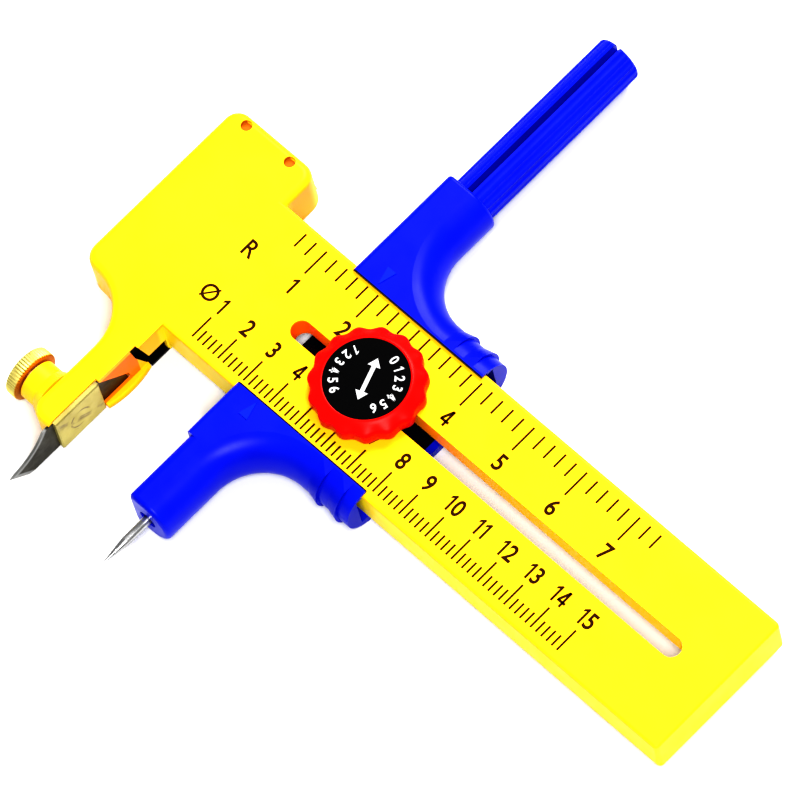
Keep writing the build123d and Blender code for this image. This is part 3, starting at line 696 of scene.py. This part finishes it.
# %% [markdown]
# ## Turned pieces with lobes
# The red knob and the brass nut follow one rule: a profile is carried once round an axis, and the rim
# goes in and out as it travels. The knob has fifteen soft lobes for the fingers, the nut a fine straight
# knurl, and the knob's disc is the same with a depth of zero. Cutting the lobes from a cylinder leaves
# sharp crests, and a moulded knob has none. In the tree a flat grid has one column for every step round
# the axis and one row for every point of the profile; each grid point looks up its profile point by its
# row, and a cosine of its angle pulls it in. The seam is then closed by merging.

# %% A tree that turns a profile
SEAM = 0.0005 * MM


def turned_tree():
    tree, given, result = new_group(
        "turned_with_lobes",
        "GeometryNodeTree",
        [
            ("Profile", SHAPE, None),
            ("Steps", INT, 240),
            ("Lobes", FLOAT, 15.0),
            ("Depth", FLOAT, 0.5 * MM),
            ("Plain Radius", FLOAT, 6 * MM),
            ("Full Radius", FLOAT, 8 * MM),
            ("Finish", MATERIAL, None),
        ],
        [("Geometry", SHAPE)],
    )
    size = put(
        tree, "GeometryNodeAttributeDomainSize", {"component": "MESH"}, {"Geometry": given["Profile"]}
    )
    rows = size.outputs["Point Count"]
    columns = maths(tree, "ADD", given["Steps"], 1.0)
    grid = put(tree, "GeometryNodeMeshGrid", None, {"Vertices X": columns, "Vertices Y": rows})
    index = put(tree, "GeometryNodeInputIndex").outputs[0]
    column = maths(tree, "FLOOR", maths(tree, "DIVIDE", maths(tree, "ADD", index, 0.5), rows))
    row = maths(tree, "SUBTRACT", index, maths(tree, "MULTIPLY", column, rows))
    looked_up = put(tree, "GeometryNodeSampleIndex", {"data_type": "FLOAT_VECTOR"}, {"Index": row})
    tree.links.new(given["Profile"], looked_up.inputs[0])
    wanted = next(socket for socket in looked_up.inputs if socket.name == "Value" and socket.enabled)
    tree.links.new(put(tree, "GeometryNodeInputPosition").outputs[0], wanted)
    found = next(socket for socket in looked_up.outputs if socket.enabled)
    profile = put(tree, "ShaderNodeSeparateXYZ", None, {0: found}).outputs
    angle = maths(tree, "MULTIPLY", maths(tree, "DIVIDE", column, given["Steps"]), 2 * math.pi)
    wave = maths(tree, "COSINE", maths(tree, "MULTIPLY", angle, given["Lobes"]))
    # The cosine runs from 1 on a crest to -1 in a hollow; the pull needs 0 there and 1 here
    wave = maths(tree, "MULTIPLY_ADD", wave, -0.5, 0.5)
    fade = spread(tree, profile[0], given["Plain Radius"], given["Full Radius"], 0.0, 1.0)
    pull = maths(tree, "MULTIPLY", maths(tree, "MULTIPLY", wave, fade), given["Depth"])
    radius = maths(tree, "SUBTRACT", profile[0], pull)
    point = put(
        tree,
        "ShaderNodeCombineXYZ",
        None,
        {
            "X": maths(tree, "MULTIPLY", radius, maths(tree, "COSINE", angle)),
            "Y": maths(tree, "MULTIPLY", radius, maths(tree, "SINE", angle)),
            "Z": profile[2],
        },
    ).outputs[0]
    bent = put(
        tree, "GeometryNodeSetPosition", None, {"Geometry": grid.outputs["Mesh"], "Position": point}
    )
    whole = put(
        tree, "GeometryNodeMergeByDistance", None, {"Geometry": bent.outputs[0], "Distance": SEAM}
    )
    real = put(tree, "GeometryNodeRealizeInstances", None, {"Geometry": whole.outputs[0]})
    finished = put(
        tree, "GeometryNodeSetMaterial", None, {"Geometry": real.outputs[0], "Material": given["Finish"]}
    )
    tree.links.new(finished.outputs[0], result["Geometry"])
    return tree


turning = turned_tree()
print("turning tree", len(turning.nodes), "nodes")

# %% [markdown]
# ## The knob, its disc and the nut
# These three take the place of their plain solids. Their profiles keep the solids' sizes, with the
# moulded roundings added, so the box of the whole doesn't change. A profile is a list of radius
# and height in millimetres. Edges sharper than a limit stay crisp, and all others are shaded smooth.

# %% Turn the knob, its disc and the nut
SHARP_ANGLE = math.radians(32)
KNOB_X = 28.95
NUT_X = -10.6
KNOB_PROFILE = [
    (1.55, 0.70), (5.10, 0.70), (5.10, 0.20), (8.15, 0.20), (8.32, 0.27), (8.40, 0.45), (8.40, 1.20),
    (8.40, 2.05), (8.34, 2.30), (8.18, 2.48), (7.85, 2.66), (7.40, 2.88), (6.90, 3.14), (6.60, 3.30),
    (6.40, 3.38), (6.25, 3.40), (6.14, 3.36), (6.12, 3.30), (6.12, 3.10), (3.24, 3.10), (3.24, 1.20),
    (1.55, 1.20), (1.55, 0.70),
]
DISC_PROFILE = [(0.0, 3.10), (6.09, 3.10), (6.09, 3.36), (6.06, 3.385), (0.0, 3.385)]
NUT_PROFILE = [
    (1.55, 0.30), (1.80, 0.0), (3.65, 0.0), (3.88, 0.10), (3.95, 0.28), (3.95, 1.72), (3.88, 1.90),
    (3.65, 2.00), (1.80, 2.00), (1.55, 1.70), (1.55, 0.30),
]


def turned(name, profile, values, placing, body, node):
    base = bpy.data.meshes.new(name + "_profile")
    base.from_pydata([(radius * MM, 0, height * MM) for radius, height in profile], [], [])
    piece = grown(name, turning, values, base)
    shape = bmesh.new()
    shape.from_mesh(piece.data)
    bmesh.ops.transform(shape, matrix=placing, verts=shape.verts)
    bmesh.ops.recalc_face_normals(shape, faces=shape.faces)
    shape.to_mesh(piece.data)
    shape.free()
    piece.data.shade_smooth()
    piece.data.set_sharp_from_angle(angle=SHARP_ANGLE)
    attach(piece, body)
    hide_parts(node)


over_knob = Matrix.Translation(at(KNOB_X, 0, 0))
on_finger = Matrix.Translation(at(NUT_X, CLAMP_Y, CLAMP_Z)) @ Matrix.Rotation(math.radians(90), 4, "Y")
turned("lobed_knob", KNOB_PROFILE, {
    "Steps": 240, "Lobes": 15.0, "Depth": 0.45 * MM, "Plain Radius": 6.9 * MM,
    "Full Radius": 8.3 * MM, "Finish": red,
}, over_knob, "knob", "lock_knob")
turned("printed_disc", DISC_PROFILE, {
    "Steps": 120, "Lobes": 1.0, "Depth": 0.0, "Plain Radius": 1 * MM,
    "Full Radius": 2 * MM, "Finish": disc_black,
}, over_knob, "knob", "knob_label")
turned("knurled_nut", NUT_PROFILE, {
    "Steps": 324, "Lobes": 54.0, "Depth": 0.10 * MM, "Plain Radius": 3.6 * MM,
    "Full Radius": 3.9 * MM, "Finish": nut_brass,
}, on_finger, "clamp_wheel", "clamp_nut")

# %% [markdown]
# ## The numbers
# Plain numbers stand inside the lines: centimetres of radius on one side, centimetres of diameter on the
# other, with a letter for radius and a crossed circle for diameter. Drawing every digit point by point
# would be slow, so Blender's own font makes them, apart from the 1 and the 4: the printed ones have
# another shape, so their few corners are listed. A text object becomes a mesh first, and only then is it
# measured, moved and joined, because its outline, not its type size, has to have the height that the
# ruler gives.

# %% Characters as small solids
BOLD = 0.022
BOLDER = {"Ø": 0.011, "R": 0.014}
DRAWN = {
    "1": [[(-0.08, 0), (0.08, 0), (0.08, 1), (-0.03, 1), (-0.27, 0.82), (-0.27, 0.66), (-0.08, 0.79)]],
    "4": [
        [(0.34, 0), (0.50, 0), (0.50, 1), (0.34, 1)],
        [(0, 0.22), (0.63, 0.22), (0.63, 0.37), (0, 0.37)],
        [(0, 0.22), (0.15, 0.28), (0.50, 1), (0.32, 1), (0, 0.38)],
    ],
}


def add_prism(shape, corners, lift):
    # Adds a flat face to a mesh and pulls a copy of it up, which closes the sides as well
    face = shape.faces.new([shape.verts.new(corner) for corner in corners])
    pulled = bmesh.ops.extrude_face_region(shape, geom=[face])["geom"]
    lifted = [item for item in pulled if isinstance(item, bmesh.types.BMVert)]
    bmesh.ops.translate(shape, verts=lifted, vec=(0, 0, lift))


def glyph(character):
    # One character as a flat closed mesh, one unit high, with its left lower corner at zero
    if character in DRAWN:
        shape = bmesh.new()
        for outline in DRAWN[character]:
            add_prism(shape, [(x, y, -0.5) for x, y in outline], 1)
        bmesh.ops.recalc_face_normals(shape, faces=shape.faces)
        mesh = bpy.data.meshes.new("drawn_character")
        shape.to_mesh(mesh)
        shape.free()
    else:
        curve = bpy.data.curves.new("character", "FONT")
        curve.body = character
        curve.extrude = 0.5
        curve.offset = BOLDER.get(character, BOLD)
        writing = in_scene("character", curve)
        bpy.context.view_layer.update()
        evaluated = writing.evaluated_get(bpy.context.evaluated_depsgraph_get())
        mesh = bpy.data.meshes.new_from_object(evaluated)
        bpy.data.objects.remove(writing)
    xs = [vertex.co.x for vertex in mesh.vertices]
    ys = [vertex.co.y for vertex in mesh.vertices]
    tall = max(ys) - min(ys)
    mesh.transform(Matrix.Translation((-min(xs), -min(ys), 0)))
    mesh.transform(Matrix.Diagonal((1 / tall, 1 / tall, 1, 1)))
    return mesh, (max(xs) - min(xs)) / tall


print("drawn by hand:", sorted(DRAWN))

# %% [markdown]
# ## Setting the numbers
# A printed word is a row of characters with even gaps, centred on its spot. Each character could stay an
# object of its own, but then the scale would be dozens of pieces. Every character of one scale goes into
# one mesh, which rides on the arm like the ink does on the real tool.

# %% Set the numbers
GLYPH_GAP = 0.17
DIGIT = 2.65
RADIUS_STRETCH = 0.9
DIAMETER_STRETCH = 0.85
CIRCLE_STRETCH = 0.95


def stamped(words, height, stretch, centre, target, turn=0.0):
    glyphs = [glyph(character) for character in words]
    whole = sum(width for mesh, width in glyphs) + GLYPH_GAP * (len(glyphs) - 1)
    reach = -whole / 2
    for mesh, width in glyphs:
        mesh.transform(Matrix.Translation((reach, -0.5, 0)))
        mesh.transform(Matrix.Diagonal((height * stretch * MM, height * MM, FILM * MM, 1)))
        mesh.transform(Matrix.Translation(centre) @ Matrix.Rotation(turn, 4, "Z"))
        target.from_mesh(mesh)
        bpy.data.meshes.remove(mesh)
        reach += width + GLYPH_GAP


def as_piece(name, shape, material, body):
    mesh = bpy.data.meshes.new(name)
    shape.to_mesh(mesh)
    shape.free()
    mesh.materials.append(material)
    piece = in_scene(name, mesh)
    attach(piece, body)
    print(name, len(mesh.polygons), "faces")


shape = bmesh.new()
stamped("R", DIGIT, RADIUS_STRETCH, at(1.84, 4.12, PRINT_Z), shape)
for number in range(1, 8):
    stamped(str(number), DIGIT, RADIUS_STRETCH, at(10 * number, 3.98, PRINT_Z), shape)
as_piece("radius_scale_numbers", shape, scale_ink, "arm")
shape = bmesh.new()
stamped("Ø", DIGIT, CIRCLE_STRETCH, at(2.19, -4.24, PRINT_Z), shape)
for number in range(1, 16):
    stamped(str(number), DIGIT, DIAMETER_STRETCH, at(5 * number, -4.62, PRINT_Z), shape)
as_piece("diameter_scale_numbers", shape, scale_ink, "arm")

# %% [markdown]
# ## The dial on the knob
# The disc on the knob is printed in white. It gets a plain dial of its own: two arcs of numbers and a
# double arrow that says it turns both ways. A picture on the disc could show them, but the same small
# solids as on the arm stay sharp from close by. Each number stands on its arc with its top away from the
# middle on one side and towards the middle on the other, so one turn and one shift place it.

# %% Print the dial
DIAL_Z = 3.4 - FILM / 2
DIAL_RADIUS = 4.6
DIAL_DIGIT = 1.45
DIAL_STRETCH = 0.9
TOP_OUTWARDS = -math.pi / 2
TOP_INWARDS = math.pi / 2
# For each arc: which way the tops point, its first number, and the numbers' places in degrees
DIAL_ARCS = (
    (TOP_OUTWARDS, 0, (78, 59.5, 41, 22.5, 4, -14.5, -33)),
    (TOP_INWARDS, 1, (152, 170, 188, 206, 224, 242)),
)
ARROW_TURN = math.radians(-70)
ARROW_OUTLINE = [
    (-3.3, 0), (-2.0, 0.95), (-2.0, 0.3), (2.0, 0.3), (2.0, 0.95), (3.3, 0), (2.0, -0.95), (2.0, -0.3),
    (-2.0, -0.3), (-2.0, -0.95),
]
shape = bmesh.new()
for facing, first, places in DIAL_ARCS:
    for number, degrees in enumerate(places, first):
        turn = math.radians(degrees)
        spot = at(KNOB_X + DIAL_RADIUS * math.cos(turn), DIAL_RADIUS * math.sin(turn), DIAL_Z)
        stamped(str(number), DIAL_DIGIT, DIAL_STRETCH, spot, shape, turn + facing)
arrow_place = Matrix.Translation(at(KNOB_X + 0.2, 0.1, DIAL_Z)) @ Matrix.Rotation(ARROW_TURN, 4, "Z")
corners = [arrow_place @ (Vector((x, y, -FILM / 2)) * MM) for x, y in reversed(ARROW_OUTLINE)]
add_prism(shape, corners, FILM * MM)
bmesh.ops.recalc_face_normals(shape, faces=shape.faces)
as_piece("dial_print", shape, disc_white, "knob")

# %% [markdown]
# ## Floor
# The tool lies on plain white paper, which renders pure white away from the tool. A shadow catcher
# would show the shadows alone, but the paper also throws light back up at the sides of the tool, so it
# is a real face. It lies a hair under the tool, because two faces in one plane render with specks.

# %% Paper floor
FLOOR_HALF = 3.0
FLOOR_DROP = -0.05 * MM
ROUND_THE_SQUARE = ((-1, -1), (1, -1), (1, 1), (-1, 1))
floor_corners = [(x * FLOOR_HALF, y * FLOOR_HALF, FLOOR_DROP) for x, y in ROUND_THE_SQUARE]
floor_mesh = bpy.data.meshes.new("floor")
floor_mesh.from_pydata(floor_corners, [], [(0, 1, 2, 3)])
floor = in_scene("floor", floor_mesh)
paper, tree, shader = new_material("white_paper")
fibre = use_group(tree, plastic_skin, Grain_per_Metre=1500.0, Flow_per_Metre=20.0)
coloured(tree, shader, fibre["Flow"], (0.79, 0.79, 0.80), (0.81, 0.81, 0.81))
shader.inputs["Roughness"].default_value = 0.9
shader.inputs["Specular IOR Level"].default_value = 0.1
floor_mesh.materials.append(paper)
print("floor", 2 * FLOOR_HALF, "m wide")

# %% [markdown]
# ## Light
# The sky gives an even, dim white light from all round. A front panel stands on the camera's side and
# lights what the camera sees, and a larger one on the stem's side makes the shadows lean towards the
# needle. Small lamps would draw hard shadows that the photograph doesn't have. The photograph's tones
# are also further apart than those of a plain render, so the view's look is one of higher contrast.

# %% Sky and panels
SKY_STRENGTH = 0.32
FRONT_PANEL_DISTANCE = 1.2
world = bpy.data.worlds.new("white_room")
world.use_nodes = True
sky = world.node_tree.nodes["Background"]
sky.inputs["Color"].default_value = (1.0, 1.0, 1.0, 1.0)
sky.inputs["Strength"].default_value = SKY_STRENGTH
bpy.context.scene.world = world


def panel(name, centre, size, power):
    light = bpy.data.lights.new(name, "AREA")
    light.shape = "SQUARE"
    light.size = size
    light.energy = power
    lamp = in_scene(name, light)
    lamp.location = centre
    lamp.rotation_mode = "QUATERNION"
    lamp.rotation_quaternion = Vector(centre).to_track_quat("Z", "Y")
    print(name, size, "m", power, "W")


panel("front_panel", centre=tuple(back * FRONT_PANEL_DISTANCE), size=0.4, power=12.0)
panel("side_panel", centre=(-0.25, 0.75, 0.95), size=0.6, power=18.0)
bpy.context.scene.view_settings.view_transform = "Standard"
bpy.context.scene.view_settings.look = "High Contrast"
